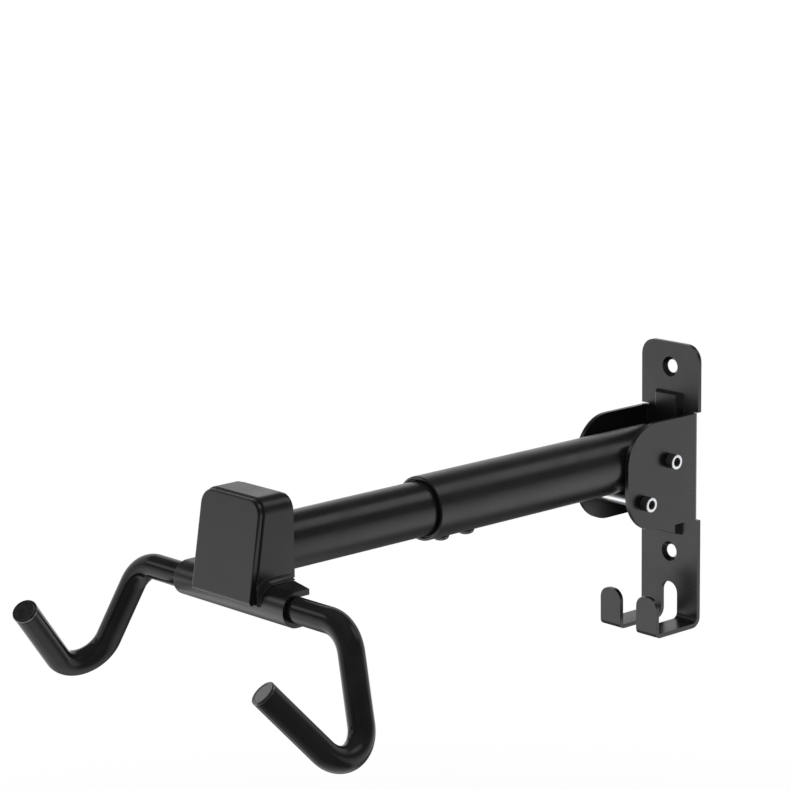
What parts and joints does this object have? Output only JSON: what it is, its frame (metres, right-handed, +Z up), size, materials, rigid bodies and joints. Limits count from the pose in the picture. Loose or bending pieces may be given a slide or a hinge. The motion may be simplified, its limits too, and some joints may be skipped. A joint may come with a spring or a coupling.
{
  "type": "bike wall mount",
  "caption": "Steel wall bracket with a telescopic arm that folds up against the wall and carries a bent rod with sleeved hooks for a bicycle's top tube.",
  "frame": {"origin": "on the wall bracket's flat back, on its middle line, 13 mm below the lower wall screw hole", "axes": "+X out of the wall along the lowered arm, +Y to the right for a person who faces the wall, +Z up"},
  "size_m": [0.4563, 0.2688, 0.1917],
  "materials": {
    "powder_coat": "satin black powder coat",
    "bright_zinc": "bright zinc plate",
    "black_oxide": "black oxide",
    "black_nylon": "moulded, matt",
    "vinyl_sleeve": "smooth soft vinyl"
  },
  "bodies": {
    "wall_side": {"wall_bracket": "powder_coat", "pivot_sleeve_nut": "bright_zinc", "pivot_screw": "black_oxide", "stop_sleeve_nut": "bright_zinc", "stop_screw": "black_oxide"},
    "arm": {"outer_tube": "powder_coat", "pivot_bush": "black_nylon", "mouth_guide_bush": "black_nylon", "clamp_screw_front": "black_oxide", "clamp_screw_rear": "black_oxide", "clamp_nut_bar": "bright_zinc"},
    "extension": {"inner_tube": "powder_coat", "inner_tube_glide": "black_nylon", "head_back_plate": "powder_coat", "head_band": "powder_coat", "front_bracket": "powder_coat", "rod_keeper_bar": "powder_coat", "head_stud": "black_oxide"},
    "hooks": {"hook_rod": "powder_coat", "left_hook_sleeve": "vinyl_sleeve", "right_hook_sleeve": "vinyl_sleeve", "left_end_cap": "vinyl_sleeve", "right_end_cap": "vinyl_sleeve"}
  },
  "joints": [
    {"name": "arm_fold", "type": "hinge", "parent": "wall_side", "child": "arm", "pos_m": [0.0284, 0, 0.084], "axis": [0, -1, 0], "range_deg": [0, 88]},
    {"name": "arm_extend", "type": "slide", "parent": "arm", "child": "extension", "axis": [1, 0, 0], "range_m": [-0.01, 0.08]},
    {"name": "hook_tilt", "type": "hinge", "parent": "extension", "child": "hooks", "pos_m": [0.3733, 0, 0.059], "axis": [0, -1, 0], "range_deg": [-15, 15]}
  ]
}
